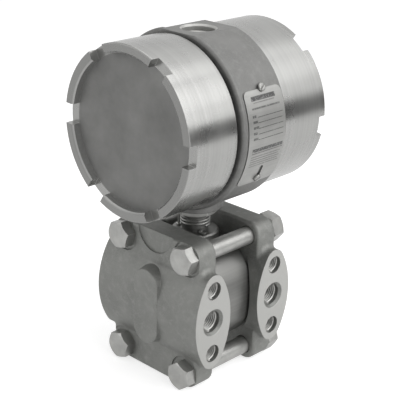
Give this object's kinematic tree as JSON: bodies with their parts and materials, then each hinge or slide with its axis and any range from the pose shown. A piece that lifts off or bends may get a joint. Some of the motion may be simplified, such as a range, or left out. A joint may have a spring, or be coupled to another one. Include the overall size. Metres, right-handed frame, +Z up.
{
  "type": "differential pressure transmitter",
  "caption": "Differential pressure transmitter: drum housing with screwed covers and a wrap-round plate, on a threaded neck above two bolted process flanges.",
  "frame": {"origin": "on the plane that the two process flanges stand on, under the neck's axis and midway between the flanges", "axes": "+Z up along the neck, +X out of the open process ports, -Y out of the front cover"},
  "size_m": [0.1116, 0.1154, 0.2127],
  "materials": {
    "cast_flange": "blasted steel casting, faced pads",
    "plated_bolts": "zinc plated, satin",
    "module_steel": "turned stainless steel",
    "seal_rubber": "moulded, matt",
    "valve_steel": "turned stainless steel",
    "lock_nut_metal": "plated, satin",
    "housing_cast": "blasted casting",
    "cover_metal": "turned sides and rim, blasted end face",
    "plate_metal": "thin satin sheet with ruled lines",
    "screw_steel": "small machine screws",
    "plug_metal": "plated, satin",
    "block_plastic": "moulded thermoset",
    "terminal_brass": "bright",
    "board_laminate": "coated circuit board"
  },
  "bodies": {
    "pressure_unit": {"front_flange": "cast_flange", "rear_flange": "cast_flange", "flange_bolt_upper_left": "plated_bolts", "flange_bolt_upper_right": "plated_bolts", "flange_bolt_lower_left": "plated_bolts", "flange_bolt_lower_right": "plated_bolts", "flange_nut_upper_left": "plated_bolts", "flange_nut_upper_right": "plated_bolts", "flange_nut_lower_left": "plated_bolts", "flange_nut_lower_right": "plated_bolts", "sensor_module": "module_steel", "module_header": "module_steel", "fill_tube": "module_steel", "fill_plug": "module_steel", "front_diaphragm": "module_steel", "rear_diaphragm": "module_steel", "front_flange_seal": "seal_rubber", "rear_flange_seal": "seal_rubber", "front_vent_seat": "valve_steel", "rear_vent_seat": "valve_steel"},
    "housing": {"housing_body": "housing_cast", "front_spigot": "housing_cast", "rear_spigot": "housing_cast", "upper_nameplate_screw": "screw_steel", "lower_nameplate_screw": "screw_steel", "conduit_plug": "plug_metal", "terminal_block": "block_plastic", "terminal_screws": "terminal_brass", "terminal_block_screws": "screw_steel", "lower_board_posts": "terminal_brass", "upper_board_posts": "terminal_brass", "amplifier_board": "board_laminate", "calibration_board": "board_laminate", "board_screws": "screw_steel"},
    "front_seal": {"front_cover_seal": "seal_rubber"},
    "front_lid": {"front_cover": "cover_metal"},
    "rear_seal": {"rear_cover_seal": "seal_rubber"},
    "rear_lid": {"rear_cover": "cover_metal"},
    "plate": {"nameplate": "plate_metal"},
    "zero_adjuster": {"zero_screw": "screw_steel"},
    "span_adjuster": {"span_screw": "screw_steel"},
    "neck_nut": {"lock_nut": "lock_nut_metal"},
    "front_vent": {"front_vent_stem": "valve_steel"},
    "rear_vent": {"rear_vent_stem": "valve_steel"}
  },
  "joints": [
    {"name": "housing_swivel", "type": "hinge", "parent": "pressure_unit", "child": "housing", "pos_m": [0, 0, 0.12], "axis": [0, 0, 1], "range_deg": [-90, 90]},
    {"name": "lock_nut_turn", "type": "hinge", "parent": "pressure_unit", "child": "neck_nut", "pos_m": [0, 0, 0.1012], "axis": [0, 0, 1], "range_deg": [-180, 180]},
    {"name": "front_vent_turn", "type": "hinge", "parent": "pressure_unit", "child": "front_vent", "pos_m": [-0.05, -0.027, 0.04725], "axis": [-1, 0, 0], "range_deg": [0, 720]},
    {"name": "rear_vent_turn", "type": "hinge", "parent": "pressure_unit", "child": "rear_vent", "pos_m": [-0.05, 0.027, 0.04725], "axis": [-1, 0, 0], "range_deg": [0, 720]},
    {"name": "front_cover_travel", "type": "slide", "parent": "housing", "child": "front_seal", "axis": [0, -1, 0], "range_m": [0, 0.01001]},
    {"name": "front_cover_turn", "type": "hinge", "parent": "front_seal", "child": "front_lid", "pos_m": [0, -0.0012, 0.16035], "axis": [0, -1, 0], "range_deg": [0, 1800]},
    {"name": "rear_cover_travel", "type": "slide", "parent": "housing", "child": "rear_seal", "axis": [0, 1, 0], "range_m": [0, 0.01001]},
    {"name": "rear_cover_turn", "type": "hinge", "parent": "rear_seal", "child": "rear_lid", "pos_m": [0, -0.0012, 0.16035], "axis": [0, 1, 0], "range_deg": [0, 1800]},
    {"name": "nameplate_slide", "type": "hinge", "parent": "housing", "child": "plate", "pos_m": [0, -0.0012, 0.16035], "axis": [0, 1, 0], "range_deg": [0, 8]},
    {"name": "zero_screw_turn", "type": "hinge", "parent": "housing", "child": "zero_adjuster", "pos_m": [0.04615, -0.0072, 0.18158], "axis": [0.9085, 0, 0.4179], "continuous": true},
    {"name": "span_screw_turn", "type": "hinge", "parent": "housing", "child": "span_adjuster", "pos_m": [0.04615, 0.0078, 0.18158], "axis": [0.9085, 0, 0.4179], "continuous": true}
  ],
  "couplings": [
    {"joint": "front_cover_travel", "follows": "front_cover_turn", "m_per_rad": 0.0003183},
    {"joint": "rear_cover_travel", "follows": "rear_cover_turn", "m_per_rad": 0.0003183}
  ]
}
